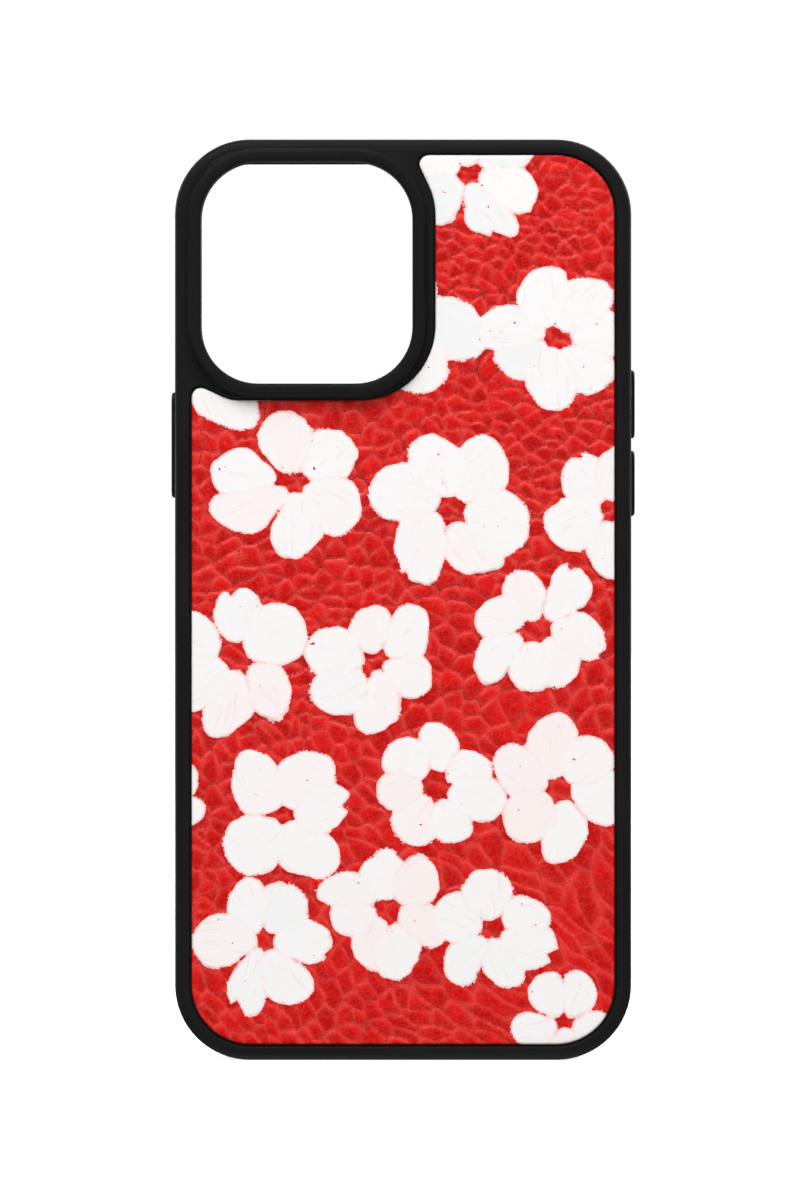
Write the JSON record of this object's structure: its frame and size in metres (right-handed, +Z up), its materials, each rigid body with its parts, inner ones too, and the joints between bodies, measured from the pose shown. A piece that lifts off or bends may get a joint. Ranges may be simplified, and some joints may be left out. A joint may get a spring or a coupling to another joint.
{
  "type": "phone case",
  "caption": "Phone case with a soft bumper frame, a flower-printed pebble-leather back, a raised camera guard and sprung side buttons.",
  "frame": {"origin": "middle of the bottom of the bounding box: half way across the width, half way through the depth from the camera guard's face to the front lip, on the surface that the bottom edge stands on", "axes": "+X to the right as seen from behind, +Y from the leather back towards the open screen side, +Z up along the height towards the camera end"},
  "size_m": [0.0834, 0.0146, 0.1649],
  "materials": {
    "bumper_soft_plastic": "matt black thermoplastic polyurethane with a fine moulded texture",
    "plate_plastic": "satin black polycarbonate",
    "adhesive": "clear double-sided adhesive film",
    "leather": "red pebble-grain leather with a soft sheen and a white brush-painted flower print",
    "microfibre": "charcoal microfibre with a short brushed nap",
    "button_plastic": "satin black",
    "retainer_plastic": "dark grey polypropylene"
  },
  "bodies": {
    "case_body": {"bumper_frame": "bumper_soft_plastic", "back_plate": "plate_plastic", "leather_adhesive": "adhesive", "leather_panel": "leather", "lining_adhesive": "adhesive", "microfibre_lining": "microfibre", "power_button_retainer": "retainer_plastic", "volume_button_retainer": "retainer_plastic"},
    "power_cap": {"power_button": "button_plastic"},
    "volume_up_cap": {"volume_up_button": "button_plastic"},
    "volume_down_cap": {"volume_down_button": "button_plastic"}
  },
  "joints": [
    {"name": "power_press", "type": "slide", "parent": "case_body", "child": "power_cap", "axis": [1, 0, 0], "range_m": [0, 0.0004], "stiffness_N_per_m": 2500},
    {"name": "volume_up_press", "type": "slide", "parent": "case_body", "child": "volume_up_cap", "axis": [-1, 0, 0], "range_m": [0, 0.0004], "stiffness_N_per_m": 2500},
    {"name": "volume_down_press", "type": "slide", "parent": "case_body", "child": "volume_down_cap", "axis": [-1, 0, 0], "range_m": [0, 0.0004], "stiffness_N_per_m": 2500}
  ]
}
